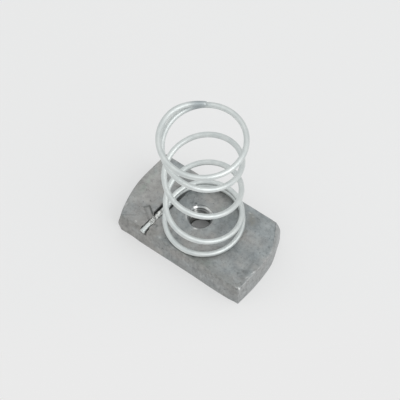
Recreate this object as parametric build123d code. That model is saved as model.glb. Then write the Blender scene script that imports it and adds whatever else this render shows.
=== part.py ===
"""Channel nut plate with its holding spring staked on, in millimetres.

Origin: axis of the tapped hole, half way through the plate. The plate is drawn
on its underside and lowered by half its thickness when it is written.
X runs along the plate, Y across it, Z up towards the spring.
"""

import os
from math import asin, atan2, ceil, cos, pi, radians, sin, sqrt

from build123d import *

# plate
plate_width = 19.05
plate_thick = 7.05
plate_middle = (0.83, -0.73)  # seen from the hole's axis
corner_reach = 16.87  # plate middle to each square corner, along X
end_splay = radians(6.1)  # how far the straight part of an end leans out
end_straight = 6.6  # length of that straight part
end_radius = 25.0  # arc that follows it, round to the blunt corner
top_roll = 0.8  # rolled-over upper edge of both sheared ends
edge_break = 0.2  # dressed lower edges

# tapped hole, M6 x 1
thread_minor_radius = 2.5
hole_rim_radius = 3.1  # countersunk mouth, both faces

# toothed strips under the plate, where it sits on the channel's lips
strip_centre = 12.4  # plate middle to the middle of a strip
strip_width = 3.2
tooth_pitch = 1.27
tooth_depth = 0.45

# spring wire and coil
wire_diameter = 1.25
coil_centre = (1.32, -0.42)
coil_start = radians(119.8)  # direction of the cut end, seen from above
rest_gap = 0.02  # under the turn that lies on the plate
coil_inset = 0.01  # outside of the lowest turn within the plate's width, each side
middle_narrowing = 0.53  # radius of the open turns, less than the lowest one's
top_widening = 0.19  # radius of the closed top turn, more than the lowest one's
tip_inward = 0.8  # how far the cut end is curled in
tip_over = 0.15  # turns over which it curls
end_slope = 0.8  # fall per turn of the closed top turn
active_pitch = 12.33  # fall per turn of the open turns
open_from, open_over = 0.707, 0.647  # turns over which the coil opens
close_from, close_over = 3.075, 1.78  # turns over which it closes again
narrow_from, narrow_over = 0.8, 0.6
widen_from, widen_over = 3.035, 1.526
lean = (0.010, -0.012)  # drift of the coil's axis per millimetre of height
runs_per_turn = 22  # straight runs of wire that stand for a turn

# straight tail of the wire and the groove it lies in
tail_angle = radians(6.1)  # tail direction, away from the -Y direction
tail_sunk = 0.62  # centre of the wire below the plate's upper face
sink_from, sink_to = -2.4, 4.8  # along the tail, counted from its tangent point
tail_runs = 6
tail_end_gap = 0.1  # cut end of the wire behind the plate's side
groove_depth = 1.3
groove_half = 0.725
groove_mouth_outer = 1.0  # wider half where the wire comes in
groove_mouth_inner = 1.1
groove_mouth_end = 2.0  # along the tail, where the mouth starts to narrow
groove_ramp_radius = 9.0
groove_ramp_foot = 1.0
pinch_run_in = 0.6  # narrowing ahead of the closed walls
pinch_run_out = 0.4
pinch_gap = 0.02  # closed wall to wire, each side
pinch_from, pinch_to = 5.8, 8.2

# chisel mark that closes the groove over the tail
stake_length = 6.5
stake_width = 1.4
stake_depth = 0.32
stake_wire_depth = 0.25  # how far the wire itself is flattened
stake_angle = -30.0
stake_station = 7.2  # along the tail

# derived
half_width = plate_width / 2
wire_radius = wire_diameter / 2
base_radius = half_width - wire_radius - coil_inset
middle_radius = base_radius - middle_narrowing
top_radius = base_radius + top_widening
cut_over = wire_diameter  # how far a cutter stands out past what it cuts
wire_rest = wire_radius + rest_gap  # wire centre above the face it lies on
side_y = plate_middle[1] - half_width
tail_heading = (-sin(tail_angle), -cos(tail_angle))
tangent_turn = 5 + (pi - tail_angle - coil_start) / (2 * pi)


def smooth(x, start, length):
    """3u^2 - 2u^3 between start and start + length, level outside."""
    u = min(max((x - start) / length, 0.0), 1.0)
    return u * u * (3 - 2 * u)


def smooth_area(x, start, length):
    """Integral of smooth() up to x."""
    u = max((x - start) / length, 0.0)
    return length * (u**3 - u**4 / 2 if u < 1 else u - 0.5)


def sunk_by(station):
    """Drop of the wire into its groove, from resting on the face to fully sunk."""
    return (wire_rest + tail_sunk) * smooth(station, sink_from, sink_to - sink_from)


def coil_fall(turn):
    """Fall from the cut end: closed turn, open turns, closed turn."""
    opened = smooth_area(turn, open_from, open_over)
    closed = smooth_area(turn, close_from, close_over)
    return end_slope * (turn - opened) + active_pitch * (opened - closed)


def coil_radius(turn):
    """Radius from the curled-in cut end: wide top turn, narrower open turns, wide lowest turn."""
    curl = (smooth(turn, 0, tip_over) - 1) * tip_inward
    narrow = smooth(turn, narrow_from, narrow_over) * (middle_radius - top_radius)
    widen = smooth(turn, widen_from, widen_over) * (base_radius - middle_radius)
    return top_radius + curl + narrow + widen


def coil_point(turn):
    """Centre of the wire after so many left-hand turns from the cut end."""
    angle = coil_start + 2 * pi * turn
    radius = coil_radius(turn)
    height = wire_rest + coil_fall(tangent_turn) - coil_fall(turn)
    station = (turn - tangent_turn) * 2 * pi * radius
    x = coil_centre[0] + radius * cos(angle) + lean[0] * (height - wire_rest)
    y = coil_centre[1] + radius * sin(angle) + lean[1] * (height - wire_rest)
    return (x, y, plate_thick + height - sunk_by(station))


tail_start = coil_point(tangent_turn)
tail_length = (tail_start[1] - side_y) / cos(tail_angle) - tail_end_gap


def tail_point(station, height=0.0):
    """Point on the tail's straight line, height above the plate's upper face."""
    x = tail_start[0] + station * tail_heading[0]
    y = tail_start[1] + station * tail_heading[1]
    return (x, y, plate_thick + height)


def plate_corner_points():
    """Square corner, end of the straight, middle of the arc and blunt corner of the +X end."""
    corner = (corner_reach, -half_width)
    knee = (corner[0] + end_straight * sin(end_splay), corner[1] + end_straight * cos(end_splay))
    hub = (knee[0] - end_radius * cos(end_splay), knee[1] + end_radius * sin(end_splay))
    first = atan2(knee[1] - hub[1], knee[0] - hub[0])
    last = asin((half_width - hub[1]) / end_radius)
    arc = [(hub[0] + end_radius * cos(a), hub[1] + end_radius * sin(a)) for a in ((first + last) / 2, last)]
    return [corner, knee, *arc]


def make_blank():
    """Plate outline, the same after half a turn, with rolled upper ends and dressed lower edges."""
    a, b, c, d = plate_corner_points()
    e, f, g, h = [(-x, -y) for x, y in (a, b, c, d)]
    edges = Line(a, b) + ThreePointArc(b, c, d) + Line(d, e)
    edges += Line(e, f) + ThreePointArc(f, g, h) + Line(h, a)
    blank = extrude(make_face(edges), plate_thick)
    upper = blank.edges().group_by(Axis.Z)[-1]
    ends = [edge for edge in upper if abs((edge @ 0.5).Y) < half_width - 0.01]
    blank = fillet(ends, top_roll)
    blank = chamfer(blank.edges().group_by(Axis.Z)[0], edge_break)
    return Pos(*plate_middle) * blank


def make_hole():
    """Bore at the thread's crests with a 45 degree mouth on both faces."""
    r, mouth = thread_minor_radius, hole_rim_radius - thread_minor_radius
    low = [(0, -cut_over), (hole_rim_radius + cut_over, -cut_over), (r, mouth)]
    high = [(x, plate_thick - z) for x, z in reversed(low)]
    return revolve(Plane.XZ * make_face(Polyline(*low, *high, close=True)), Axis.Z)


def make_teeth():
    """One strip of vee notches, cut up into the underside."""
    count = ceil(plate_width / tooth_pitch)
    first = -count * tooth_pitch / 2
    rim = [(first - cut_over, -cut_over), (first, 0)]
    for n in range(count):
        rim += [(first + (n + 0.5) * tooth_pitch, tooth_depth), (first + (n + 1) * tooth_pitch, 0)]
    rim += [(-first + cut_over, -cut_over)]
    profile = Plane.YZ * make_face(Polyline(*rim, close=True))
    return extrude(profile, strip_width / 2, both=True)


def make_groove():
    """Cutter for the tail's groove: its plan with the pinched part, cut to its floor and run-in ramp."""
    reach = groove_ramp_radius**2 - (groove_ramp_radius - groove_depth) ** 2
    start = groove_ramp_foot - sqrt(reach)
    stop = tail_length + tail_end_gap + cut_over
    pinch = wire_radius + pinch_gap
    outer, inner = [
        [(start - cut_over, mouth), (groove_mouth_end, mouth), (pinch_from - pinch_run_in, groove_half)]
        for mouth in (groove_mouth_outer, groove_mouth_inner)
    ]
    pinched = [(pinch_from, pinch), (pinch_to, pinch)]
    closed = pinched + [(pinch_to + pinch_run_out, groove_half), (stop, groove_half)]
    plan = inner + closed + [(s, -w) for s, w in reversed(outer + closed)]
    prism = extrude(make_face(Polyline(*plan, close=True)), 2 * groove_depth, both=True)
    half_ramp = asin((groove_ramp_foot - start) / groove_ramp_radius) / 2
    middle = groove_ramp_foot - groove_ramp_radius * sin(half_ramp)
    dip = groove_ramp_radius * (1 - cos(half_ramp)) - groove_depth
    foot = (groove_ramp_foot, -groove_depth)
    floor = Polyline((start, 0), (start, cut_over), (stop, cut_over), (stop, -groove_depth), foot)
    floor += ThreePointArc(foot, (middle, dip), (start, 0))
    side = extrude(Plane.XZ * make_face(floor), 2 * groove_mouth_inner, both=True)
    heading = Plane(origin=tail_point(0), x_dir=(*tail_heading, 0), z_dir=(0, 0, 1))
    return heading * (prism & side)


def make_punch(depth):
    """Flat chisel, its foot the given depth below the plate's upper face."""
    block = Box(stake_length, stake_width, cut_over + depth, align=(Align.CENTER, Align.CENTER, Align.MIN))
    return Pos(*tail_point(stake_station, -depth)) * Rot(0, 0, stake_angle) * block


def make_plate():
    plate = make_blank() - make_hole() - make_groove() - make_punch(stake_depth)
    for side in (-1, 1):
        plate -= Pos(plate_middle[0] + side * strip_centre, plate_middle[1], 0) * make_teeth()
    return plate


def make_spring():
    """Round wire in short mitred runs along the coil and its tail, flattened where it is staked."""
    steps = round(tangent_turn * runs_per_turn)
    path = [coil_point(tangent_turn * n / steps) for n in range(steps + 1)]
    stations = [tail_length * n / tail_runs for n in range(1, tail_runs + 1)]
    path += [tail_point(s, wire_rest - sunk_by(s)) for s in stations]
    line = Polyline(*path)
    end = Plane(origin=line @ 0, z_dir=line % 0)
    wire = sweep(end * Circle(wire_radius), path=line, transition=Transition.RIGHT)
    return wire - make_punch(stake_wire_depth)


def main():
    os.makedirs("parts", exist_ok=True)
    parts = {"nut_plate": make_plate(), "coil_spring": make_spring()}
    for name, shape in parts.items():
        solids = (Pos(0, 0, -plate_thick / 2) * shape).solids()
        solid = solids[0] if len(solids) == 1 else Compound(children=list(solids))
        export_step(solid, f"parts/{name}.step")
        box = solid.bounding_box()
        print(name, len(solids), "solid, volume", round(solid.volume, 2), box.min, box.max)


if __name__ == "__main__":
    main()
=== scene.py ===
import bpy
import numpy as np
from mathutils import Matrix, Vector


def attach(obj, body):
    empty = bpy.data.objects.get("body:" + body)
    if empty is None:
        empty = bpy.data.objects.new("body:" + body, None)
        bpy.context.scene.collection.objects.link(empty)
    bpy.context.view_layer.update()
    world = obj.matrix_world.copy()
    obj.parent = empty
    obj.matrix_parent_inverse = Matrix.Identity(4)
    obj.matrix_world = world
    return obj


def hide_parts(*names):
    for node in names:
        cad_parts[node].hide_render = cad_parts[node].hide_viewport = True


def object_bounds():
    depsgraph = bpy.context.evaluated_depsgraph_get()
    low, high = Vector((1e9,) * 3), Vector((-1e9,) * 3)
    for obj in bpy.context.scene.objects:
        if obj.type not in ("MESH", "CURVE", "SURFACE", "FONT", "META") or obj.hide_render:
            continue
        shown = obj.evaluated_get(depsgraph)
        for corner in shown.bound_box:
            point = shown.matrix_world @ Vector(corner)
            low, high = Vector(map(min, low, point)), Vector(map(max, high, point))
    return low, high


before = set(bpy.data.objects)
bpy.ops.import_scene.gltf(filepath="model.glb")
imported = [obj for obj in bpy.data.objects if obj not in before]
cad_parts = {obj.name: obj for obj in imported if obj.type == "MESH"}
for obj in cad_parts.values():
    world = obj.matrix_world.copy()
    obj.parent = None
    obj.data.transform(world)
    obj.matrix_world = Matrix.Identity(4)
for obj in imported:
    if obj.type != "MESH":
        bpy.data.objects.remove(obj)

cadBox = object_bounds()
millimetre = 0.001
cadLow, cadHigh = (np.array(corner) / millimetre for corner in cadBox)


def smoothStep(x, start, length):  # 3u^2 - 2u^3 from start to start + length, level outside
    u = np.clip((x - start) / length, 0, 1)
    return u * u * (3 - 2 * u)


def smoothArea(x, start, length):  # area under smoothStep up to x
    u = np.maximum((x - start) / length, 0)
    return length * np.where(u < 1, u**3 - u**4 / 2, u - 0.5)


def window(x, rise, fall):  # smoothStep up over rise and down again over fall, each a start and a length
    return smoothStep(x, *rise) * (1 - smoothStep(x, *fall))


def bump(x, middle, half):  # bell curve, 1 in the middle and 0.37 at half
    return np.exp(-(((x - middle) / half) ** 2))


def roughness(points, amount, waveLength, seed, waves=14):
    # amount times a sum of sine waves in seeded directions, mostly between -1 and 1
    dice = np.random.default_rng(seed)
    heading = dice.normal(size=(waves, points.shape[-1]))
    heading /= np.linalg.norm(heading, axis=1, keepdims=True)
    pace = 2 * np.pi / waveLength * dice.uniform(0.6, 1.8, waves)
    phase = dice.uniform(0, 2 * np.pi, waves)
    return amount * np.sin(points @ (heading * pace[:, None]).T + phase).sum(-1) / np.sqrt(waves)


def softSpots(points, spots):  # sum of bell shapes, each with its own half length along X and Y and strength
    x, y = points[..., 0], points[..., 1]
    return sum(k * np.exp(-(((x - atX) / a) ** 2 + ((y - atY) / b) ** 2)) for atX, atY, a, b, k in spots)


def streaks(points, marks):  # strongest of narrow bell shapes, each turned by its own angle
    strongest = np.zeros(points.shape[:-1])
    for x, y, angle, length, width, strength in marks:
        turn = np.radians(angle)
        away = points - np.array([x, y])
        along, across = away @ [np.cos(turn), np.sin(turn)], away @ [-np.sin(turn), np.cos(turn)]
        strongest = np.maximum(strongest, strength * bump(along, 0, length) * bump(across, 0, width))
    return strongest


def gridMesh(name, grid, rowsWrap):
    # quads between neighbours of a grid of points in millimetres; its columns always wrap, and where its
    # rows don't, triangles round one point close each end
    rows, columns = grid.shape[:2]
    index = np.arange(rows * columns).reshape(rows, columns)
    right = np.roll(index, -1, 1)
    quads = np.stack([index, right, np.roll(right, -1, 0), np.roll(index, -1, 0)], -1)
    quads = (quads if rowsWrap else quads[:-1]).reshape(-1, 4)
    points = grid.reshape(-1, 3)
    corners, sizes = quads.ravel(), np.full(len(quads), 4)
    if not rowsWrap:
        first, last = len(points), len(points) + 1
        points = np.vstack([points, grid[0].mean(0), grid[-1].mean(0)])
        near = np.stack([index[0], np.full(columns, first), right[0]], -1)
        far = np.stack([index[-1], right[-1], np.full(columns, last)], -1)
        corners = np.concatenate([corners, near.ravel(), far.ravel()])
        sizes = np.concatenate([sizes, np.full(2 * columns, 3)])
    mesh = bpy.data.meshes.new(name)
    mesh.vertices.add(len(points))
    mesh.vertices.foreach_set("co", (points * millimetre).astype(np.float32).ravel())
    mesh.loops.add(len(corners))
    mesh.loops.foreach_set("vertex_index", corners.astype(np.int32))
    mesh.polygons.add(len(sizes))
    mesh.polygons.foreach_set("loop_start", (np.cumsum(sizes) - sizes).astype(np.int32))
    mesh.update(calc_edges=True)
    mesh.validate()
    mesh.shade_smooth()
    return mesh


def paint(mesh, name, values):  # one number at each vertex, for the material to read
    layer = mesh.attributes.new(name, "FLOAT", "POINT")
    spare = len(mesh.vertices) - values.size
    layer.data.foreach_set("value", np.concatenate([values.ravel(), np.zeros(spare)]).astype(np.float32))


def newObject(name, data):
    made = bpy.data.objects.new(name, data)
    bpy.context.scene.collection.objects.link(made)
    return made


def placePiece(name, mesh, material, node):
    mesh.materials.append(material)
    piece = newObject(name, mesh)
    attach(piece, "root")
    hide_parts(node)


def newMaterial(name):
    material = bpy.data.materials.new(name)
    material.use_nodes = True
    tree = material.node_tree
    return material, tree, tree.nodes["Principled BSDF"]


def setInputs(tree, node, inputs):  # numbers, vectors and colours are set, outputs of other nodes are linked
    for name, value in inputs.items():
        socket = node.inputs[name]
        if isinstance(value, tuple):
            socket.default_value = (*value, 1) if socket.type == "RGBA" else value
        elif isinstance(value, (int, float)):
            socket.default_value = value
        else:
            tree.links.new(value, socket)


def addNode(tree, kind, inputs, **settings):  # a new shader node's outputs
    node = tree.nodes.new("ShaderNode" + kind)
    for name, value in settings.items():
        setattr(node, name, value)
    setInputs(tree, node, inputs)
    return node.outputs


def addNoise(tree, vector, scale, detail, rough):
    inputs = dict(Vector=vector, Scale=scale, Detail=detail, Roughness=rough)
    return addNode(tree, "TexNoise", inputs)[0]


def addRamp(tree, source, stops):  # stops: place and colour or grey
    node = tree.nodes.new("ShaderNodeValToRGB")
    ramp = node.color_ramp
    while len(ramp.elements) < len(stops):
        ramp.elements.new(0.5)
    for element, (place, colour) in zip(ramp.elements, stops):
        element.position = place
        element.color = (*colour, 1) if isinstance(colour, tuple) else (colour, colour, colour, 1)
    tree.links.new(source, node.inputs["Fac"])
    return node.outputs["Color"]


def addMix(tree, factor, first, second, blend="MIX"):
    inputs = {0: factor, 6: first, 7: second}
    return addNode(tree, "Mix", inputs, data_type="RGBA", blend_type=blend)[2]


def addMath(tree, operation, first, second, clamp=False):
    return addNode(tree, "Math", {0: first, 1: second}, operation=operation, use_clamp=clamp)[0]


def times(tree, first, second):
    return addMath(tree, "MULTIPLY", first, second)


def toned(tree, colour, tone):
    return addMix(tree, 1.0, colour, tone, "MULTIPLY")


def addDot(tree, vector, direction):  # how far a vector reaches along a direction
    return addNode(tree, "VectorMath", {0: vector, 1: direction}, operation="DOT_PRODUCT")["Value"]


def addPainted(tree, name):
    return addNode(tree, "Attribute", {}, attribute_name=name)["Fac"]


def addBump(tree, height, strength, distance, **below):
    inputs = dict(Height=height, Strength=strength, Distance=distance, **below)
    return addNode(tree, "Bump", inputs)["Normal"]


def addMapping(tree, vector, scale):
    return addNode(tree, "Mapping", dict(Vector=vector, Scale=scale))["Vector"]


def finishMetal(tree, shader, metallic, colour, polish, normal):
    inputs = {"Metallic": metallic, "Base Color": colour, "Roughness": polish, "Normal": normal}
    setInputs(tree, shader, inputs)


# the spring: round wire along a left-hand coil and a straight tail, on the same line as the solids
wire = dict(
    radius=0.625,
    restGap=0.02,  # under the turn that lies on the plate
    centre=(1.32, -0.42),
    startAngle=119.8,  # degrees, direction of the cut end
    wholeTurns=5,
    baseRadius=8.89,
    narrowing=0.53,  # open turns' radius, less than the lowest one's
    widening=0.19,  # top turn's radius, more than the lowest one's
    tipInward=0.8,
    tipOver=0.15,
    endSlope=0.8,  # fall per turn, closed and open
    activePitch=12.33,
    opens=(0.707, 0.647),  # turns: where the change starts, and over how much
    closes=(3.075, 1.78),
    narrows=(0.8, 0.6),
    widens=(3.035, 1.526),
    lean=(0.010, -0.012),  # drift of the axis per millimetre of height
    tailAngle=6.1,
    tailSunk=0.62,
    sinks=(-2.4, 7.2),  # along the tail from its tangent point: start and length
    tailEndGap=-0.22,  # cut end just past the plate's side
    ringsPerTurn=110,
    tailRings=110,
    around=28,
    slack=0.004,  # keeps the wire within the solids' box
    endWear=(0.08, 0.12),  # share drawn in at both cut ends, and over what length
    capRing=0.6,  # ring on each cut face, as a share of its rim
    spread=0.07,  # wider where the chisel squeezed it
    spreadAt=((4.2, 0.8), (6.6, 0.8)),
    hammeredAt=((3.8, 0.9), (8.2, 1.0)),
    lumps=(0.06, 0.6, 15),  # amount, wave length, seed
    flatDepth=0.13,  # chisel flat below the face
    flatLumps=(0.07, 0.7, 12),
    flatRise=2.0,  # how fast the flat lets go of the wire round it
    flatFrom=0.02,
    flatCrush=0.5,
    shadeAtEnd=(1.5, 1.8),  # painted shade streak beside the cut end: middle and half length
    shadeBelow=(1.7, 1.9),  # and on the strand under it
    mapUnit=10.0,  # millimetres of wire to one unit of its map
)


def sunkBy(station):  # drop of the wire into its groove
    return (wireRest + wire["tailSunk"]) * smoothStep(station, *wire["sinks"])


def coilFall(turn):  # slow fall in the closed turns, fast fall in the open ones
    opened = smoothArea(turn, *wire["opens"])
    closed = smoothArea(turn, *wire["closes"])
    return wire["endSlope"] * (turn - opened) + wire["activePitch"] * (opened - closed)


def coilRadius(turn):  # curled-in cut end, wide top turn, narrower open turns, wide lowest turn
    curl = (smoothStep(turn, 0, wire["tipOver"]) - 1) * wire["tipInward"]
    narrow = (wire["widening"] + wire["narrowing"]) * smoothStep(turn, *wire["narrows"])
    widen = wire["narrowing"] * smoothStep(turn, *wire["widens"])
    return wire["baseRadius"] + wire["widening"] + curl - narrow + widen


def coilPath(turn):  # circle of that radius going down as coilFall says, leaning a little
    angle = np.radians(wire["startAngle"]) + 2 * np.pi * turn
    radius = coilRadius(turn)
    height = wireRest + coilFall(tangentTurn) - coilFall(turn)
    station = (turn - tangentTurn) * 2 * np.pi * radius
    x = wire["centre"][0] + radius * np.cos(angle) + wire["lean"][0] * (height - wireRest)
    y = wire["centre"][1] + radius * np.sin(angle) + wire["lean"][1] * (height - wireRest)
    return np.stack([x, y, faceTop + height - sunkBy(station)], -1)


def tailPath(station):  # straight line from the coil's tangent point, sinking into the groove
    flat = tailStart + station[:, None] * tailHeading
    return np.column_stack([flat, faceTop + wireRest - sunkBy(station)])


def alongTail(points):  # station along the tail and distance to its side, of points in plan
    away = points - tailStart
    return away @ tailHeading, away @ tailSide


def wireSurface():
    # circle carried along the coil and tail: radius * (cos * sideways + sin * upwards) at each ring, swollen
    # and lumpy where it was hammered, cut off level by the chisel, its ends drawn in a little
    turn = np.linspace(0, tangentTurn, int(tangentTurn * wire["ringsPerTurn"]), endpoint=False)
    path = np.vstack([coilPath(turn), tailPath(np.linspace(0, tailLength, wire["tailRings"]))])
    tangent = np.gradient(path, axis=0)
    tangent /= np.linalg.norm(tangent, axis=1, keepdims=True)
    side = np.cross(tangent, [0, 0, 1])
    side /= np.linalg.norm(side, axis=1, keepdims=True)
    top = np.cross(side, tangent)
    length = np.concatenate([[0], np.cumsum(np.linalg.norm(np.diff(path, axis=0), axis=1))])
    angle = np.linspace(0, 2 * np.pi, wire["around"], endpoint=False)
    sideways = np.cos(angle)[None, :, None] * side[:, None]
    ring = sideways + np.sin(angle)[None, :, None] * top[:, None]
    wear, wearLength = wire["endWear"]
    worn = wear * (bump(length, 0, wearLength) + bump(length, length[-1], wearLength))
    radius = wire["radius"] * (1 - worn) - wire["slack"]
    onTail = (length > length[-1] - tailLength)[:, None]
    station = (length - length[-1] + tailLength)[:, None]
    surface = path[:, None] + radius[:, None, None] * ring
    surface += wire["spread"] * window(station, *wire["spreadAt"])[..., None] * sideways
    hammered = window(station, *wire["hammeredAt"]) * onTail
    surface += (hammered * roughness(surface, *wire["lumps"]))[..., None] * ring
    flat = stakeDepthAt(surface[..., :2], 1.0) * onTail
    foot = faceTop - wire["flatDepth"] + roughness(surface[..., :2], *wire["flatLumps"])
    pressed = np.minimum(surface[..., 2], foot + (1 - flat) * wire["flatRise"])
    surface[..., 2] = np.where(flat > wire["flatFrom"], pressed, surface[..., 2])
    crushed = np.maximum(wire["flatCrush"] * flat, hammered)
    middle = surface.mean(1, keepdims=True)
    inner = middle + wire["capRing"] * (surface - middle)
    surface = np.concatenate([inner[:1], surface, inner[-1:]])  # a ring on each cut face
    return surface, np.pad(length, 1, "edge"), angle, np.pad(crushed, ((1, 1), (0, 0)), "edge")


def wireShade(length):  # painted shade: a dark streak beside the cut end, on the strand under it too
    firstTurn = 2 * np.pi * (wire["baseRadius"] + wire["widening"])
    (atEnd, endHalf), (below, belowHalf) = wire["shadeAtEnd"], wire["shadeBelow"]
    return np.clip(bump(length, atEnd, endHalf) + bump(length, firstTurn + below, belowHalf), 0, 1)


def wireMap(mesh, length, angle):  # lengthwise and round the wire, for the drawn marks; 1 closes the circle
    rings, around = len(length), len(angle)
    layer = mesh.uv_layers.new(name="drawn")
    corners = np.zeros(len(mesh.loops), np.int32)
    mesh.loops.foreach_get("vertex_index", corners)
    row, column = np.minimum(corners // around, rings - 1), corners % around
    first = np.arange(len(corners)) // 4 * 4
    base = column[np.minimum(first, len(corners) - 1)]
    wrapped = np.where((column == 0) & (base > around // 2), around, column)
    wrapped = np.where((column > around // 2) & (base == 0), column - around, wrapped)
    unrolled = np.column_stack([length[row] / wire["mapUnit"], wrapped / around])
    layer.data.foreach_set("uv", unrolled.astype(np.float32).ravel())


wireFinish = dict(
    light=(0.745, 0.775, 0.765),
    cool=(0.68, 0.715, 0.71),
    dark=(0.54, 0.57, 0.565),
    crushed=(0.70, 0.71, 0.69),
    # colour of the painted shade streak beside the cut end
    shade=(0.43, 0.47, 0.485),
    metallic=0.92,
    drawnStretch=(1.2, 14.0, 1.0),
    drawn=(4.0, 4.0, 0.55),  # noise: scale, detail, roughness
    cloud=(520.0, 3.0, 0.5),
    grain=(4200.0, 4.0, 0.6),
    lumps=(2400.0, 3.0, 0.55),
    hueStops=(0.35, 0.6),
    drawnMarks=((0.3, 0.4), (0.46, 0.0)),
    lumpTones=((0.4, 0.3), (0.5, 1.0), (0.62, 1.35)),
    polish=((0.35, 0.52), (0.65, 0.45)),
    crushedPolish=0.42,
    drawnBump=(0.2, 0.00002),  # strength, depth in metres
    grainBump=(0.1, 0.00001),
)


def zincWire():  # pale zinc with fine marks drawn along it, bruised and darker where it was hammered
    finish = wireFinish
    material, tree, shader = newMaterial("zincWire")
    spot = addNode(tree, "TexCoord", {})["Object"]
    unrolled = addNode(tree, "UVMap", {}, uv_map="drawn")["UV"]
    drawn = addNoise(tree, addMapping(tree, unrolled, finish["drawnStretch"]), *finish["drawn"])
    cloud, grain, lumps = (addNoise(tree, spot, *finish[name]) for name in ("cloud", "grain", "lumps"))
    colour = addRamp(tree, cloud, tuple(zip(finish["hueStops"], (finish["cool"], finish["light"]))))
    colour = addMix(tree, addRamp(tree, drawn, finish["drawnMarks"]), colour, finish["dark"])
    crushed = addPainted(tree, "crushed")
    bruised = toned(tree, finish["crushed"], addRamp(tree, lumps, finish["lumpTones"]))
    colour = addMix(tree, crushed, colour, bruised)
    # painted shade laid over the wire where the shade streak is painted
    colour = addMix(tree, addPainted(tree, "shade"), colour, finish["shade"])
    polish = addMix(tree, crushed, addRamp(tree, cloud, finish["polish"]), (finish["crushedPolish"],) * 3)
    normal = addBump(tree, drawn, *finish["drawnBump"])
    normal = addBump(tree, grain, *finish["grainBump"], Normal=normal)
    finishMetal(tree, shader, finish["metallic"], colour, polish, normal)
    return material


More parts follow.
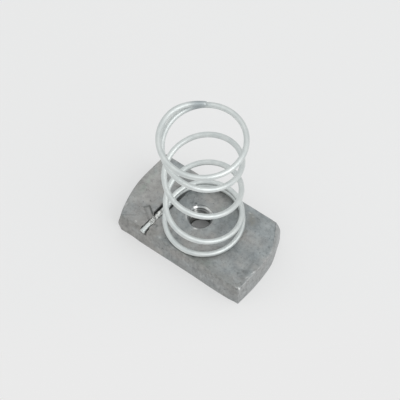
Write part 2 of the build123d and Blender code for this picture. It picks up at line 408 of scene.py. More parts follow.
# the plate: sides are numbered right end 0, back 1, left end 2 and front 3
plate = dict(
    width=19.05,
    thick=7.05,
    middle=(0.83, -0.73),  # seen from the hole's axis
    cornerReach=16.865,
    endSplay=6.1,
    endStraight=6.6,
    endRadius=25.0,
    lowerBreak=0.1,
    breakAngles=(30.0, 60.0, 90.0),
    edges=((0.24, 0.3), (0.1, 0.14), (0.08, 0.12), (0.42, 0.6)),  # worn upper edge of each side: inset, drop
    bluntEdge=(1.15, 3.4),  # what the right end's comes to at its blunt corner
    edgePower=2.0,
    edgeSpacing=1.4,  # its rows lie closer at the top
    edgeLumps=(0.05, 1.6, 31),  # amount, wave length, seed
    bluntFrom=0.66,  # share of the right end where its upper edge starts to fall away
    bluntPower=1.3,
    bluntRunOut=2.6,  # along the back side
    bluntDrawnIn=0.33,
    drawnInAlong=((12.0, 4.0), (2.0, 4.5)),  # start and length, along X and along Y
    # metal pushed out of the sides: amount, then middle and half length along the side and in height
    frontSwell=(0.3, (-15.0, 2.2), (-0.4, 3.0)),
    leftSwell=(0.85, (-9.8, 4.6), (-0.5, 2.8)),  # along the side it fades from a start over a length
    frontSpread=(0.2, 0.15, (11.5, 4.0)),  # even amount, more of it, and where
    rightSpread=(0.04, 0.12, (-6.0, 2.5)),
    frontSpreadEnds=((-13.0, 4.0), 0.8, (15.0, 2.5)),  # rise, share lost and fall along the side
    spreadBelow=(-1.0, 3.6),  # way down from mid-thickness: start and length
    # torn walls
    tears=((1.0, 1.4, 7), (0.6, 0.5, 8)),  # coarse and fine: amount, wave length, seed
    tearStretch=(1.0, 1.0, 0.5),
    tearInset=0.035,
    tearDepth=0.018,
    tearLimit=1.8,
    tearTop=(0.0, 0.25),  # share of the wall's height
    tearFoot=(0.8, 0.85, 0.15),  # share lost, start, length
    boxGap=0.002,  # least way to the sides of the solids' box
    # tapped hole
    rimRadius=3.1,
    crestRadius=2.5,
    rootRadius=3.05,
    pitch=1.0,
    crestHalf=0.08,  # shares of a pitch
    flank=0.26,
    # toothed strips underneath
    stripCentre=12.4,
    stripWidth=3.2,
    stripEdge=(0.04, 0.08),
    toothPitch=1.27,
    toothDepth=0.45,
    # groove of the tail, with stations along it counted from the tangent point
    grooveDepth=1.3,
    grooveHalf=0.66,
    grooveWall=(0.03, 0.12),  # slope: where it starts inside the half width, and its length
    mouthOuter=1.12,
    mouthInner=1.1,
    mouthEnd=2.0,
    innerNarrowEnd=0.6,  # ahead of the pinch
    outerNarrow=(1.1, 0.8),
    rampRadius=9.0,
    rampFoot=1.0,
    pinch=(6.7, 8.2),
    pinchHalf=0.6,
    pinchRunIn=0.5,
    pinchRunOut=0.4,
    flare=(9.3, 0.7),
    flareHalf=0.9,
    # chisel mark; a slope is its start from the outline and its length
    stakeSize=(6.5, 1.4),
    stakeDepth=0.34,
    stakeAngle=-36.0,
    stakeCentre=(-8.9, -6.8),
    stakeEnd=(-0.12, 0.3),
    stakeBack=(-0.1, 0.24),
    stakeFront=(-0.2, 0.9),
    stakeFades=(0.75, (1.3, 0.9)),  # share lost along the far half
    stakeLineAlong=((-0.1, 0.2), (-1.0, 0.4)),  # dark lines round it, the first counted from its near end
    stakeBackLine=(0.04, 0.19),  # middle outside the mark and half width
    stakeEndLine=(0.18, (-0.05, 0.2)),
    stakeFrontLine=(0.1, 0.1),
    stakeLip=(0.05, 0.14, (-0.2, 0.5)),  # height, half width and how it ends
    stakeFoot=(0.035, 0.7, 21),
    stakeFootFrom=0.2,
    lipOutside=0.05,  # groove depth past which there is no lip
    # uneven face
    waves=((0.016, 5.0, 3), (0.007, 1.3, 4)),
    wavesFrom=1.0,  # outside the hole's rim
    faceSunk=0.06,
    # how fine the surface is
    straightColumns=38,
    arcColumns=60,
    backColumns=78,
    frontColumns=(18, 50, 76),
    fineFront=(-1.5, 1.7),  # beside the end of the groove
    faceRows=(22, 48, 34),
    edgeRows=9,
    wallRows=14,
    floorRows=41,
    boreRows=66,
    fineShares=(0.25, 0.7),  # where the face's fine rows lie on a spoke that doesn't meet the groove
    fineBearings=((132, 10), (238, 16)),  # degrees: the spokes that do
    fineHalf=1.9,  # to each side of the groove's middle
    fineRooms=(0.6, 2.4, 1.2, 1.1),  # least ways from the rim, before the edge, apart, and to the edge
    # round marks, each x and y, then size and depth
    dents=(
        (15.05, -6.65, 0.26, 0.16), (17.35, 0.15, 0.18, 0.12), (17.05, 2.65, 0.24, 0.13),
        (17.6, 1.0, 0.16, 0.08), (16.0, -5.2, 0.5, 0.05), (16.9, -8.3, 0.2, 0.08),
        (13.2, -7.6, 0.22, 0.06), (11.6, -8.6, 0.3, 0.05), (-12.8, -3.2, 0.3, 0.04),
        (-9.6, 3.4, 0.4, 0.04), (5.2, 6.6, 0.3, 0.05), (12.2, 4.4, 0.25, 0.05),
        (14.6, 6.2, 0.3, 0.05), (-14.6, -4.6, 0.2, 0.06), (9.2, -8.9, 0.25, 0.06),
        (2.6, -8.4, 0.2, 0.05), (-5.4, -8.8, 0.3, 0.05), (-2.75, 2.3, 0.22, 0.16),
        (-2.95, 1.5, 0.16, 0.1),
    ),
    # bright marks on the edges, and painted shade along the crease where the worn end begins: x, y, angle,
    # length, width, strength
    nicks=(
        (17.4, -9.75, 8, 0.5, 0.14, 1.0), (17.85, -4.7, 78, 0.55, 0.11, 0.9),
        (17.35, -6.6, 60, 0.5, 0.09, 0.5), (-11.2, -9.35, 20, 0.2, 0.1, 0.6),
        (8.7, 7.25, 20, 0.2, 0.12, 0.6), (9.9, 6.9, 60, 0.2, 0.1, 0.4),
        (-4.4, -9.6, 0, 0.5, 0.3, 0.25), (-15.7, -7.2, 75, 0.5, 0.12, 0.4),
        (-2.5, -1.95, -52, 0.7, 0.14, 0.8), (1.0, -3.1, 18, 0.5, 0.12, 0.8),
    ),
    creaseShade=((15.75, 7.6, -62, 1.6, 0.2, 0.9), (17.1, 5.0, -61, 1.4, 0.17, 0.7)),
    # soft spots, each x, y, half length, half width and strength: brown, lighter or darker (one of them a
    # painted shadow inside the coil), green, dark
    stains=(
        (9.5, 7.0, 1.2, 0.7, 0.7), (10.4, 5.6, 1.2, 1.0, 0.8),
        (-12.0, 0.5, 1.6, 1.0, 0.3), (-7.0, -9.4, 3.0, 0.7, 0.5),
        (4.0, -9.6, 4.0, 0.7, 0.5), (13.2, -9.4, 3.0, 0.7, 0.4),
        (14.6, 8.5, 1.0, 0.4, 0.5),
    ),
    tones=(
        (-14.0, 1.0, 2.2, 6.0, 0.06), (-10.2, -5.7, 0.7, 0.7, 0.09),
        # the spot at 6.5, 1.0 is a painted shadow inside the coil, beside its right side
        (6.5, 1.0, 1.3, 3.5, -0.09), (12.5, -4.2, 3.0, 1.3, -0.045),
        (16.6, -6.0, 1.0, 3.0, -0.07), (13.6, -7.9, 1.6, 0.8, 0.06),
    ),
    greens=((7.2, -8.6, 1.6, 0.9, 0.8), (4.0, 4.0, 2.0, 2.0, 0.3), (-15.0, 0.0, 0.8, 4.0, 0.4)),
    darks=(
        (15.05, -6.65, 0.24, 0.24, 0.8), (17.35, 0.15, 0.2, 0.2, 0.5), (17.05, 2.65, 0.26, 0.26, 0.55),
        (17.6, 1.0, 0.18, 0.14, 0.5), (16.1, -5.6, 0.9, 0.35, 0.35), (16.6, -4.0, 0.35, 1.4, 0.3),
        (15.9, 6.9, 0.35, 1.0, 0.25), (16.9, -8.3, 0.25, 0.2, 0.4), (17.1, -10.0, 0.2, 0.2, 0.7),
        (-6.6, -7.7, 0.26, 0.5, 0.75), (-3.5, 2.1, 0.2, 0.3, 0.6), (-2.75, 2.3, 0.25, 0.25, 0.8),
        (3.4, -9.4, 0.3, 0.25, 0.5), (4.5, -9.2, 0.4, 0.2, 0.4), (8.8, -9.5, 0.5, 0.3, 0.4),
    ),
    # painted highlights in the bore: bearing in degrees, half, share on the mouth's cone and below it
    boreGlints=((148, 7, 1.0, 0.85), (70, 24, 1.5, 0.5), (214, 18, 1.5, 0.0)),
    # painted bright rings of highlight across its thread: height, half, strength
    highlightRings=((1.5, 0.25, 0.75), (-0.1, 0.25, 0.75)),
    # painted shade in the thread as dark rings: height, half, strength; then where they are eased: bearing,
    # half, share
    shadeRings=((2.35, 0.36, 0.9), (0.75, 0.36, 0.95), (-1.2, 0.4, 0.5), (-2.9, 0.5, 0.7)),
    leastShine=0.08,
    shadeEased=(156, 16, 0.7),
    coneFrom=(0.75, 0.2),  # depth below the face
    shineFrom=(-0.6, 1.6),
    # darker towards the bottom of the bore: amount, then start and length of the depth
    deepDarker=(0.25, (-0.6, 1.8)),
    deepBrown=(0.55, (-1.5, 3.0)),
    # shares of the finishes on the walls of each side
    wallMottle=(0.4, 0.6, 0.6, 0.75),
    wallTorn=(0.75, 0.5, 0.6, 0.22),
    frontBrown=(0.2, 0.23, (0.0, 2.0)),  # even amount, more of it, and from what height
    wornShine=(0.07, (4.5, 3.0)),  # on the right end: amount, start and length along Y
    nickLowest=2.9,
    darkLowest=1.0,
)

faceTop = plate["thick"] / 2
halfWidth = plate["width"] / 2
wireRest = wire["radius"] + wire["restGap"]
tailLean = np.radians(wire["tailAngle"])
tailHeading = -np.array([np.sin(tailLean), np.cos(tailLean)])
tailSide = np.array([-tailHeading[1], tailHeading[0]])  # towards the middle of the plate
tangentTurn = wire["wholeTurns"] + (180 - wire["tailAngle"] - wire["startAngle"]) / 360
tailStart = coilPath(tangentTurn)[:2]
tailLength = (tailStart[1] - plate["middle"][1] + halfWidth) / np.cos(tailLean) - wire["tailEndGap"]


def inStakeFrame(points):  # place in plan from the middle of the chisel mark, along and across it
    turn = np.radians(plate["stakeAngle"])
    along = np.array([np.cos(turn), np.sin(turn)])
    away = points - np.array(plate["stakeCentre"])
    return away @ along, away @ np.array([-along[1], along[0]])


def stakeDepthAt(points, depth):  # flat foot with sloping sides, fading out towards its far end
    along, across = inStakeFrame(points)
    length, width = plate["stakeSize"]
    ends = smoothStep(length / 2 - np.abs(along), *plate["stakeEnd"])
    back = smoothStep(width / 2 - across, *plate["stakeBack"])
    front = smoothStep(width / 2 + across, *plate["stakeFront"])
    lost, fading = plate["stakeFades"]
    return depth * ends * back * front * (1 - lost * smoothStep(along, *fading))


def stakeEdgeAt(points):  # dark lines at the near end and along the sides of the mark
    along, across = inStakeFrame(points)
    length, width = plate["stakeSize"]
    (before, over), fall = plate["stakeLineAlong"]
    within = window(along, (before - length / 2, over), fall)
    outside, half = plate["stakeBackLine"]
    back = bump(across, width / 2 + outside, half) * within
    half, (inside, over) = plate["stakeEndLine"]
    end = bump(along, -length / 2, half) * (1 - smoothStep(np.abs(across), width / 2 + inside, over))
    strength, half = plate["stakeFrontLine"]
    front = strength * bump(across, -width / 2, half) * within
    return np.maximum(np.maximum(back, end), front)


def grooveDepthAt(points):  # floor depth times how far inside the walls a point is
    station, side = alongTail(points)
    back = np.clip(station - plate["rampFoot"], -plate["rampRadius"], 0)
    ramp = plate["rampRadius"] - np.sqrt(np.clip(plate["rampRadius"] ** 2 - back**2, 0, None))
    floor = np.clip(plate["grooveDepth"] - ramp, 0, None)
    pinchStart, pinchEnd = plate["pinch"]
    before, over = plate["outerNarrow"]
    mouthEnd, full = plate["mouthEnd"], plate["grooveHalf"]
    slow = smoothStep(station, mouthEnd, pinchStart - plate["innerNarrowEnd"] - mouthEnd)
    quick = smoothStep(station, pinchStart - before, over)
    inner = plate["mouthInner"] + (full - plate["mouthInner"]) * slow
    outer = plate["mouthOuter"] + (full - plate["mouthOuter"]) * quick
    half = np.where(side > 0, inner, outer)
    runIn, runOut = plate["pinchRunIn"], plate["pinchRunOut"]
    pinched = window(station, (pinchStart - runIn, runIn), (pinchEnd, runOut))
    half = half + (plate["pinchHalf"] - half) * pinched
    flared = smoothStep(station, *plate["flare"]) * (side > 0)
    half = half + (plate["flareHalf"] - full) * flared
    gap, slope = plate["grooveWall"]
    return floor * (1 - smoothStep(np.abs(side), half - gap, slope))


def plateOutline():
    # straight, splayed and arc pieces of the right end, the back, the same end turned half round, the front
    reach, splay, radius = plate["cornerReach"], np.radians(plate["endSplay"]), plate["endRadius"]
    corner = np.array([reach, -halfWidth])
    knee = corner + plate["endStraight"] * np.array([np.sin(splay), np.cos(splay)])
    hub = knee + radius * np.array([-np.cos(splay), np.sin(splay)])
    last = np.arcsin((halfWidth - hub[1]) / radius)
    angle = np.linspace(-splay, last, plate["arcColumns"], endpoint=False)
    share = np.linspace(0, 1, plate["straightColumns"], endpoint=False)[:, None]
    straight = corner + share * (knee - corner)
    arcNormal = np.column_stack([np.cos(angle), np.sin(angle)])
    blunt = hub + radius * np.array([np.cos(last), np.sin(last)])
    end = np.vstack([straight, hub + radius * arcNormal])
    endNormal = np.vstack([np.tile([np.cos(splay), -np.sin(splay)], (len(straight), 1)), arcNormal])
    backX = np.linspace(blunt[0], -reach, plate["backColumns"], endpoint=False)
    grooveX = tailStart[0] + tailLength * tailHeading[0] - plate["middle"][0]
    stops = [-blunt[0], *(grooveX + step for step in plate["fineFront"]), reach]
    pieces = zip(stops[:-1], stops[1:], plate["frontColumns"])
    frontX = np.concatenate([np.linspace(*ends, count, endpoint=False) for *ends, count in pieces])
    back = np.column_stack([backX, np.full(len(backX), halfWidth)])
    front = np.column_stack([frontX, np.full(len(frontX), -halfWidth)])
    points = np.vstack([end, back, -end, front])
    side = np.repeat([0, 1, 2, 3], [len(end), len(back), len(end), len(front)])
    backNormal, frontNormal = np.tile([0.0, 1.0], (len(back), 1)), np.tile([0.0, -1.0], (len(front), 1))
    return points, np.vstack([endNormal, backNormal, -endNormal, frontNormal]), side


def cornersOf(side):  # the columns where a new side starts
    return np.flatnonzero(np.diff(side, prepend=side[-1]))


def edgeShape(points, normals, side):
    # worn upper edge at each column: how far in it starts, how far down it ends, and the way in to a mitre
    reach, drop = np.array(plate["edges"])[side].T
    share = np.linspace(0, 1, (side == 0).sum(), endpoint=False)
    fall = np.clip((share - plate["bluntFrom"]) / (1 - plate["bluntFrom"]), 0, 1) ** plate["bluntPower"]
    square, blunt = np.array(plate["edges"][0]), np.array(plate["bluntEdge"])
    reach[side == 0], drop[side == 0] = (square + fall[:, None] * (blunt - square)).T
    backX = points[side == 1][:, 0]
    leaving = 1 - smoothStep(backX[0] - backX, 0, plate["bluntRunOut"])
    drop[side == 1] += leaving * (blunt[1] - drop[side == 1])
    inset = normals * reach[:, None]
    mitre = normals.copy()
    for corner in cornersOf(side):  # both sides' insets meet there
        pair = [normals[corner - 1], normals[corner]]
        inset[corner] = np.linalg.solve(pair, [reach[corner - 1], reach[corner]])
        mitre[corner] = np.linalg.solve(pair, [1, 1])
    inset[side == 1, 0] = inset[side == 1][0, 0] * leaving
    return inset, drop, mitre


def bulgeOf(side, points, height):  # swollen blunt corner on the left, lower edges spread a little
    x, y = points[:, 0], points[:, 1]
    low = smoothStep(-height, *plate["spreadBelow"])
    swell, along, upright = plate["frontSwell"]
    even, more, where = plate["frontSpread"]
    rise, lost, fall = plate["frontSpreadEnds"]
    front = swell * bump(x, *along) * bump(height, *upright)
    spread = (even + more * bump(x, *where)) * low
    front = front + spread * smoothStep(x, *rise) * (1 - lost * smoothStep(x, *fall))
    swell, along, upright = plate["leftSwell"]
    left = swell * (1 - smoothStep(y, *along)) * bump(height, *upright)
    even, more, where = plate["rightSpread"]
    right = (even + more * bump(y, *where)) * low
    return np.choose(side, [right, 0 * right, left, front])


def sideBulge(points, normals, side, height):  # along each side's own normal, both together at the corners
    push = normals * bulgeOf(side, points, height)[..., None]
    for corner in cornersOf(side):
        here = slice(corner, corner + 1)
        pair = [bulgeOf(side[number], points[here], height[:, here]) for number in (corner - 1, corner)]
        push[:, corner] = np.hstack(pair) @ np.linalg.inv([normals[corner - 1], normals[corner]]).T
    return push


def faceStops(points):
    # where the face's fine rows begin and end on each spoke: about the groove where it is ahead, else even
    reach = np.linalg.norm(points, axis=1)
    facing = points / reach[:, None] @ tailSide
    steep, far = -0.25, 40
    toGroove = np.where(facing < steep, (tailStart @ tailSide) / np.minimum(facing, steep), far)
    bearing = np.degrees(np.arctan2(points[:, 1], points[:, 0])) % 360
    ahead = window(bearing, *plate["fineBearings"])
    rim, half = plate["rimRadius"], plate["fineHalf"]
    first, second = (rim + share * (reach - rim) for share in plate["fineShares"])
    fromRim, beforeEdge, apart, atEdge = plate["fineRooms"]
    nearStop = np.clip(toGroove - half, rim + fromRim, reach - beforeEdge)
    farStop = np.clip(toGroove + half, nearStop + apart, reach - atEdge)
    return first + ahead * (nearStop - first), second + ahead * (farStop - second)


def evenRows(start, stop, count, endpoint=False):  # even steps between two rings of points
    share = np.linspace(0, 1, count, endpoint=endpoint)[:, None, None]
    return start[None] + share * (stop - start)[None]


def pits(points):  # small round dents left by handling
    marks = np.array(plate["dents"])
    away = points[..., None, :] - marks[:, :2]
    return (marks[:, 3] * np.exp(-((away**2).sum(-1)) / marks[:, 2] ** 2)).sum(-1)


def faceHeight(points):  # flat face less groove, chisel mark and dents, with metal pushed up beside the mark
    along, across = inStakeFrame(points)
    length, width = plate["stakeSize"]
    groove = grooveDepthAt(points)
    stake = stakeDepthAt(points, plate["stakeDepth"])
    lipHeight, lipHalf, lipEnd = plate["stakeLip"]
    beside = bump(np.abs(across), width / 2 + lipHalf, lipHalf)
    lip = lipHeight * beside * smoothStep(length / 2 - np.abs(along), *lipEnd)
    foot = roughness(points, *plate["stakeFoot"]) * (stake > plate["stakeFootFrom"])
    wave = sum(roughness(points, *waves) for waves in plate["waves"])
    wave = wave * smoothStep(np.linalg.norm(points, axis=-1), plate["rimRadius"], plate["wavesFrom"])
    cut = np.maximum(groove, stake) + pits(points)
    return faceTop - plate["faceSunk"] - cut + lip * (groove < plate["lipOutside"]) + foot + wave


def toothedFloor(points):  # vee notches across two strips
    x, y = points[..., 0] - plate["middle"][0], points[..., 1] - plate["middle"][1]
    gap, slope = plate["stripEdge"]
    inside = 1 - smoothStep(np.abs(np.abs(x) - plate["stripCentre"]), plate["stripWidth"] / 2 - gap, slope)
    count = np.ceil(plate["width"] / plate["toothPitch"])
    share = (y / plate["toothPitch"] + count / 2) % 1
    return -faceTop + inside * plate["toothDepth"] * (1 - np.abs(2 * share - 1))


def boreRadius(angle, height):  # vee thread climbing one pitch a turn, opened by a cone at both faces
    share = (height / plate["pitch"] - angle / (2 * np.pi)) % 1
    tooth = np.clip((np.abs(share - 0.5) - plate["crestHalf"]) / plate["flank"], 0, 1)
    cone = plate["rimRadius"] - (faceTop - np.abs(height))
    radius = plate["crestRadius"] + (plate["rootRadius"] - plate["crestRadius"]) * tooth
    return np.maximum(radius, cone), tooth * (cone < plate["crestRadius"])


def withHeight(flat, height):  # points in plan and their heights, as points in space
    return np.dstack([flat, np.broadcast_to(height, flat.shape[:2])])


def faceSection(rim, inner, spoke):  # even rows from the rim to the groove, across it and on to the edge
    nearStop, farStop = (stop[:, None] * spoke for stop in faceStops(inner))
    rings = (rim, nearStop, farStop, inner)
    rows = [evenRows(rings[n], rings[n + 1], plate["faceRows"][n], n == 2) for n in range(3)]
    flat = np.concatenate(rows)
    return withHeight(flat, faceHeight(flat))


def edgeSection(outline, normals, side, inset, drop, top):  # inset * (1 - share)^power, going down by share
    share = np.linspace(0, 1, plate["edgeRows"] + 1)[1:, None] ** plate["edgeSpacing"]
    height = top - share * drop
    rounded = inset * (1 + roughness(outline, *plate["edgeLumps"]))[:, None]
    worn = outline - ((1 - share) ** plate["edgePower"])[:, :, None] * rounded
    return withHeight(worn + sideBulge(outline, normals, side, height) * share[:, :, None], height)


def wallSection(outline, normals, side, top):  # bulging sides with torn metal, smooth at their top and foot
    share = np.linspace(0, 1, plate["wallRows"] + 1)[1:, None]
    height = top + share * (-faceTop + plate["lowerBreak"] - top)
    place = withHeight(np.broadcast_to(outline, (len(share), *outline.shape)), height)
    coarse, fine = plate["tears"]
    torn = roughness(place * plate["tearStretch"], *coarse) + roughness(place, *fine)
    kept, start, length = plate["tearFoot"]
    fade = smoothStep(share, *plate["tearTop"]) * (1 - kept * smoothStep(share, start, length))
    torn = np.clip(torn, -plate["tearLimit"], plate["tearLimit"])
    inward = normals * ((plate["tearInset"] - plate["tearDepth"] * torn) * fade)[:, :, None]
    return withHeight(outline + sideBulge(outline, normals, side, height) - inward, height)


def lowerSection(foot, mitre):  # quarter circle round the lower edge
    tilt = np.radians(np.array(plate["breakAngles"]))[:, None]
    flat = foot[:, :2] - mitre * plate["lowerBreak"] * (1 - np.cos(tilt))[:, :, None]
    return withHeight(flat, -faceTop + plate["lowerBreak"] - plate["lowerBreak"] * np.sin(tilt))


def plateSurface():  # sections carried round the hole, one below the other: a grid that closes on itself
    outline, normals, side = plateOutline()
    inset, drop, mitre = edgeShape(outline, normals, side)
    outline = outline + np.array(plate["middle"])
    alongX, alongY = plate["drawnInAlong"]
    drawnIn = smoothStep(outline[:, 1], *alongY) * smoothStep(outline[:, 0], *alongX)
    outline[:, 0] -= plate["bluntDrawnIn"] * drawnIn
    bearing = np.arctan2(outline[:, 1], outline[:, 0])
    spoke = np.column_stack([np.cos(bearing), np.sin(bearing)])
    rim = plate["rimRadius"] * spoke
    face = faceSection(rim, outline - inset, spoke)
    edge = edgeSection(outline, normals, side, inset, drop, face[-1, :, 2])
    wall = wallSection(outline, normals, side, edge[-1, :, 2])
    lower = lowerSection(wall[-1], mitre)
    underFlat = evenRows(lower[-1, :, :2], rim, plate["floorRows"] + 1, True)[1:]
    under = withHeight(underFlat, toothedFloor(underFlat))
    height = np.linspace(-faceTop, faceTop, plate["boreRows"] + 2)[1:-1, None]
    radius, boreRoot = boreRadius(bearing[None, :], height)
    bore = withHeight(radius[:, :, None] * spoke, height)
    sections = dict(face=face, edge=edge, wall=wall, lower=lower, under=under, bore=bore)
    surface = np.concatenate(list(sections.values()))
    surface = np.clip(surface, cadLow + plate["boxGap"], cadHigh - plate["boxGap"])
    part = np.repeat(list(sections), [len(section) for section in sections.values()])
    root = np.zeros(surface.shape[:2])
    root[part == "bore"] = boreRoot
    return surface, part, side, root


def boreHighlights(surface):  # painted highlights on the mouth's cone and, at some bearings, on the thread below it, with bright rings and a faint even shine
    bearing, height = np.degrees(np.arctan2(surface[..., 1], surface[..., 0])), surface[..., 2]
    depth, over = plate["coneFrom"]
    cone, below = smoothStep(height, faceTop - depth, over), smoothStep(height, *plate["shineFrom"])
    spots = plate["boreGlints"]
    shine = sum(bump(bearing, at, half) * (onCone * cone + deep * below) for at, half, onCone, deep in spots)
    rings = sum(k * bump(height, at, half) for at, half, k in plate["highlightRings"])
    return shine + rings + plate["leastShine"]


def boreShade(surface):  # painted shade: dark rings in the thread, eased at one bearing; and darker towards the bottom
    bearing, height = np.degrees(np.arctan2(surface[..., 1], surface[..., 0])), surface[..., 2]
    at, half, share = plate["shadeEased"]
    clean = 1 - share * bump(bearing, at, half)
    amount, where = plate["deepDarker"]
    rings = sum(k * bump(height, place, wide) for place, wide, k in plate["shadeRings"])
    return clean * rings + amount * smoothStep(-height, *where)


def plateMarks(surface, part, side, root):  # where the metal is sheared, bright, stained or dark, 0 to 1
    flat, height = surface[..., :2], surface[..., 2]
    face, bore = (part == "face")[:, None], (part == "bore")[:, None]
    upper = np.isin(part, ("face", "edge"))[:, None]
    flank = np.isin(part, ("edge", "wall", "lower"))[:, None] * np.ones(surface.shape[:2])
    even, more, where = plate["frontBrown"]
    brown = softSpots(flat, plate["stains"]) * face
    brown = brown + (even + more * smoothStep(height, *where)) * flank * (side == 3)
    amount, where = plate["deepBrown"]
    brown = brown + amount * bore * smoothStep(-height, *where)
    amount, where = plate["wornShine"]
    worn = amount * (side == 0) * smoothStep(flat[..., 1], *where) * flank
    nicks = streaks(flat, plate["nicks"]) * (height > plate["nickLowest"])
    dark = np.maximum(softSpots(flat, plate["darks"]), stakeEdgeAt(flat)) * (height > plate["darkLowest"])
    marks = dict(
        wall=flank * np.choose(side, plate["wallMottle"]),
        sheared=flank * np.choose(side, plate["wallTorn"]),
        # fresh metal on the nicks and the worn end, and painted highlights in the bore
        bright=np.maximum(np.maximum(nicks, worn), bore * boreHighlights(surface)),
        # painted shade in the roots of the thread
        threadRoot=root,
        worked=stakeDepthAt(flat, 1.0) * upper,
        # painted shade in the tail's groove, darkest where it is deepest
        groove=upper * grooveDepthAt(flat) / plate["grooveDepth"],
        brown=brown,
        green=softSpots(flat, plate["greens"]) * upper,
        # lighter or darker spots, among them a painted shadow inside the coil
        tone=0.5 + softSpots(flat, plate["tones"]) * upper,
        # dark spots and lines, with painted shade along the crease and in the bore's thread
        dark=dark + streaks(flat, plate["creaseShade"]) * face + bore * boreShade(surface),
    )
    return {name: np.clip(values, 0, 1) for name, values in marks.items()}


plateFinish = dict(
    cool=(0.350, 0.376, 0.384),
    plain=(0.362, 0.376, 0.376),
    warm=(0.376, 0.372, 0.362),
    green=(0.310, 0.380, 0.330),
    brown=(0.252, 0.243, 0.215),
    sheared=(0.425, 0.430, 0.425),
    # colour of the dark spots and lines, and of the painted shade along the crease and in the bore
    dark=(0.08, 0.09, 0.085),
    # colour of the painted shade in the groove
    groove=(0.09, 0.092, 0.09),
    worked=(0.34, 0.335, 0.325),
    # colour of fresh metal on the nicks and of the painted highlights in the bore
    bright=(0.92, 0.92, 0.90),
    # colour of the painted shade in the thread's roots
    threadRoot=(0.02, 0.018, 0.016),
    covers=(("worked", 0.4), ("dark", 0.8), ("groove", 0.8), ("threadRoot", 0.95)),
    shearedShare=0.85,
    metallic=0.8,
    # noises: scale, detail, roughness
    patches=(170.0, 4.0, 0.55),
    broad=(260.0, 3.0, 0.5),
    drift=(480.0, 5.0, 0.6),
    grain=(1300.0, 5.0, 0.65),
    specks=(2600.0, 3.0, 0.6),
    torn=(1300.0, 6.0, 0.75),
    driftStretch=(1.0, 1.5, 1.0),
    tornStretch=(1.0, 1.0, 0.6),
    leaning=(-7.0, -4.0, 0.0),  # shift of the patches from warm to cool, per metre
    hueStops=(0.36, 0.5, 0.62),
    # how much each noise lightens or darkens, or lets through
    broadTones=((0.36, 0.9), (0.5, 1.0), (0.64, 1.08)),
    driftTones=((0.34, 0.84), (0.5, 1.0), (0.66, 1.08)),
    grainTones=((0.32, 0.8), (0.5, 1.0), (0.7, 1.12)),
    speckTones=((0.27, 0.5), (0.37, 1.0), (0.66, 1.0), (0.78, 1.2)),
    tornTones=((0.36, 0.72), (0.5, 1.0), (0.64, 1.25)),
    shearedTones=((0.34, 0.62), (0.47, 1.0), (0.6, 1.06), (0.7, 1.3)),
    greenThrough=((0.38, 0.1), (0.6, 1.0)),
    brownThrough=((0.34, 0.25), (0.58, 0.95)),
    brightThrough=((0.3, 0.55), (0.5, 1.0)),
    polish=((0.3, 0.46), (0.7, 0.6)),
    brightPolish=0.25,
    speckShare=0.45,
    grainBump=(0.3, 0.00006),  # strength, depth in metres
    tornBump=(0.6, 0.00012),
)


def plateSteel():  # mottled grey steel: patches, drift, grain and specks, then the painted marks over them
    finish = plateFinish
    material, tree, shader = newMaterial("plateSteel")
    spot = addNode(tree, "TexCoord", {})["Object"]
    names = ("patches", "broad", "grain", "specks")
    patches, broad, grain, specks = (addNoise(tree, spot, *finish[name]) for name in names)
    drift = addNoise(tree, addMapping(tree, spot, finish["driftStretch"]), *finish["drift"])
    torn = addNoise(tree, addMapping(tree, spot, finish["tornStretch"]), *finish["torn"])
    hue = addMath(tree, "ADD", patches, addDot(tree, spot, finish["leaning"]))
    hues = zip(finish["hueStops"], (finish["cool"], finish["plain"], finish["warm"]))
    colour = addRamp(tree, hue, tuple(hues))
    colour = toned(tree, colour, addRamp(tree, broad, finish["broadTones"]))
    colour = toned(tree, colour, times(tree, addPainted(tree, "tone"), 2.0))
    green = times(tree, addPainted(tree, "green"), addRamp(tree, drift, finish["greenThrough"]))
    colour = addMix(tree, green, colour, finish["green"])
    for noise, tones in ((drift, "driftTones"), (grain, "grainTones"), (specks, "speckTones")):
        colour = toned(tree, colour, addRamp(tree, noise, finish[tones]))
    sheared = addPainted(tree, "sheared")
    blotch = toned(tree, finish["sheared"], addRamp(tree, torn, finish["shearedTones"]))
    colour = addMix(tree, times(tree, sheared, finish["shearedShare"]), colour, blotch)
    brown = times(tree, addPainted(tree, "brown"), addRamp(tree, grain, finish["brownThrough"]))
    colour = addMix(tree, brown, colour, finish["brown"])
    uneven = addRamp(tree, torn, finish["tornTones"])
    colour = toned(tree, colour, addMix(tree, addPainted(tree, "wall"), (1.0, 1.0, 1.0), uneven))
    for name, share in finish["covers"]:
        colour = addMix(tree, times(tree, addPainted(tree, name), share), colour, finish[name])
    clean = addMath(tree, "SUBTRACT", 1.0, addPainted(tree, "threadRoot"))
    # fresh metal and painted highlights, kept off the painted shade of the thread's roots
    bright = times(tree, addPainted(tree, "bright"), addRamp(tree, grain, finish["brightThrough"]))
    bright = times(tree, bright, clean)
    colour = addMix(tree, bright, colour, finish["bright"])
    polish = addMix(tree, bright, addRamp(tree, drift, finish["polish"]), (finish["brightPolish"],) * 3)
    normal = addBump(tree, addMix(tree, finish["speckShare"], grain, specks), *finish["grainBump"])
    normal = addBump(tree, times(tree, torn, sheared), *finish["tornBump"], Normal=normal)
    finishMetal(tree, shader, finish["metallic"], colour, polish, normal)
    return material


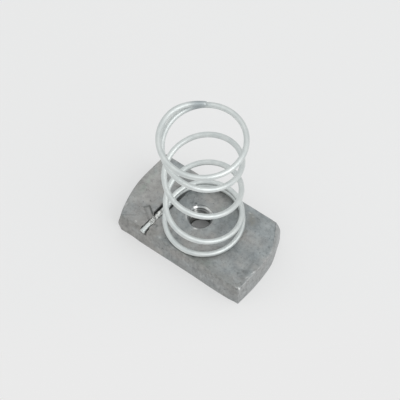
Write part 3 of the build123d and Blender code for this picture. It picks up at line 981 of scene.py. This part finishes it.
# the room, in metres
studio = dict(
    floor=(0.824, 0.824, 0.824),
    floorSize=1.6,
    floorRough=0.9,
    floorSheen=0.1,
    floorShade=0.42,  # share of the floor's look that takes shadows; all of it under the part
    floorGlow=0.1,  # least share of its own light, and its rise towards the front
    floorSlant=(18.0, -24.0, 0.0),
    clearFrom=(0.006, 0.010),  # ways from the hole's axis where that share changes
    room=0.7,
    tint=(0.985, 1.0, 1.0),
    # azimuth from -Y towards +X, elevation, spread, gain
    patches=(
        (90.0, 88.0, 0.35, 0.32),
        (90.0, 38.0, 0.16, 0.16),
        (36.0, 18.0, 0.12, -0.2),
        (185.0, 5.0, 0.2, -0.14),
    ),
    lampPlace=(0.62, -0.05, 0.66),
    lampSize=0.78,
    lampGlow=1.3,  # how bright a white card facing it from close by would be
)


def towards(azimuth, elevation):  # unit vector
    azimuth, elevation = np.radians(azimuth), np.radians(elevation)
    level = np.cos(elevation)
    return np.array([np.sin(azimuth) * level, -np.cos(azimuth) * level, np.sin(elevation)])


def floorGlowShare(tree):  # share of the floor's own light, for what sees the floor straight or in a mirror
    rays = addNode(tree, "LightPath", {})
    seen = addMath(tree, "MAXIMUM", rays["Is Camera Ray"], rays["Is Glossy Ray"])
    seen = addMath(tree, "MAXIMUM", seen, rays["Is Transmission Ray"])
    place = addNode(tree, "TexCoord", {})["Object"]
    away = addNode(tree, "VectorMath", {0: place}, operation="LENGTH")["Value"]
    inner, outer = studio["clearFrom"]
    past = addMath(tree, "SUBTRACT", away, inner)
    clear = addMath(tree, "DIVIDE", past, outer - inner, True)
    share = times(tree, times(tree, clear, seen), 1 - studio["floorShade"])
    slant = addMath(tree, "ADD", addDot(tree, place, studio["floorSlant"]), studio["floorGlow"], True)
    return addMath(tree, "MAXIMUM", share, slant)


def paleFloor():  # plain pale sheet that keeps the part's shadow, part of its look being its own even light
    size, low = studio["floorSize"], -faceTop * millimetre
    mesh = bpy.data.meshes.new("paleFloor")
    corners = [(-size, -size, low), (size, -size, low), (size, size, low), (-size, size, low)]
    mesh.from_pydata(corners, [], [(0, 1, 2, 3)])
    material, tree, shader = newMaterial("paleFloor")
    colour, rough, sheen = studio["floor"], studio["floorRough"], studio["floorSheen"]
    setInputs(tree, shader, {"Base Color": colour, "Roughness": rough, "Specular IOR Level": sheen})
    glow = addNode(tree, "Emission", {"Color": colour})[0]
    blend = addNode(tree, "MixShader", {0: floorGlowShare(tree), 1: shader.outputs[0], 2: glow})[0]
    tree.links.new(blend, tree.nodes["Material Output"].inputs["Surface"])
    mesh.materials.append(material)
    floor = newObject("paleFloor", mesh)


def softRoom():  # even world with soft patches, each adding gain * exp((cosine to its middle - 1) / spread)
    world = bpy.data.worlds.new("softRoom")
    bpy.context.scene.world = world
    world.use_nodes = True
    tree = world.node_tree
    heading = addNode(tree, "TexCoord", {})["Generated"]
    level = studio["room"]
    for azimuth, elevation, spread, gain in studio["patches"]:
        facing = addDot(tree, heading, tuple(towards(azimuth, elevation)))
        away = addMath(tree, "DIVIDE", addMath(tree, "SUBTRACT", facing, 1.0), spread)
        level = addMath(tree, "ADD", times(tree, addMath(tree, "EXPONENT", away, 0.0), gain), level)
    setInputs(tree, tree.nodes["Background"], dict(Strength=level, Color=studio["tint"]))


def softLamp():  # round lamp aimed at the hole's axis
    lamp = bpy.data.lights.new("softLamp", "AREA")
    lamp.shape, lamp.size = "DISK", studio["lampSize"]
    lamp.energy = studio["lampGlow"] * np.pi * np.pi * (studio["lampSize"] / 2) ** 2
    holder = newObject("softLamp", lamp)
    holder.location = studio["lampPlace"]
    holder.rotation_euler = (-holder.location).to_track_quat("-Z", "Y").to_euler()


viewer = dict(
    place=(94.739, -127.185, 305.662),  # millimetres from the hole's axis
    azimuth=36.663,
    elevation=61.679,
    roll=-1.271,
    lens=135.0,
    sensor=36.0,
    sees=(0.01, 10.0),
)


def addCamera():  # back points from the part to the camera; right and up are turned about it by the roll
    azimuth, roll = np.radians(viewer["azimuth"]), np.radians(viewer["roll"])
    back = towards(viewer["azimuth"], viewer["elevation"])
    level = np.array([np.cos(azimuth), np.sin(azimuth), 0.0])
    upright = np.cross(back, level)
    right = level * np.cos(roll) + upright * np.sin(roll)
    up = -level * np.sin(roll) + upright * np.cos(roll)
    data = bpy.data.cameras.new("viewer")
    data.lens, data.sensor_width = viewer["lens"], viewer["sensor"]
    data.clip_start, data.clip_end = viewer["sees"]
    holder = newObject("viewer", data)
    turned = Matrix(np.column_stack([right, up, back]).tolist()).to_4x4()
    holder.matrix_world = Matrix.Translation(Vector(viewer["place"]) * millimetre) @ turned
    bpy.context.scene.camera = holder


print("plate: surface")
plateGrid, platePart, plateSide, threadRoot = plateSurface()
plateMesh = gridMesh("nutPlate", plateGrid[:, ::-1], True)
print("plate: marks and steel")
for markName, markValues in plateMarks(plateGrid, platePart, plateSide, threadRoot).items():
    paint(plateMesh, markName, np.broadcast_to(markValues, plateGrid.shape[:2])[:, ::-1])
placePiece("nutPlate", plateMesh, plateSteel(), "nut_plate")

print("spring: surface")
wireGrid, wireLength, wireAngle, wireCrushed = wireSurface()
wireMesh = gridMesh("coilSpring", wireGrid, False)
print("spring: marks and zinc")
paint(wireMesh, "crushed", wireCrushed)
paint(wireMesh, "shade", np.repeat(wireShade(wireLength), len(wireAngle)))
wireMap(wireMesh, wireLength, wireAngle)
placePiece("coilSpring", wireMesh, zincWire(), "coil_spring")

print("room: floor, lamp and camera")
paleFloor()
softRoom()
softLamp()
addCamera()
bpy.context.scene.view_settings.view_transform = "Standard"
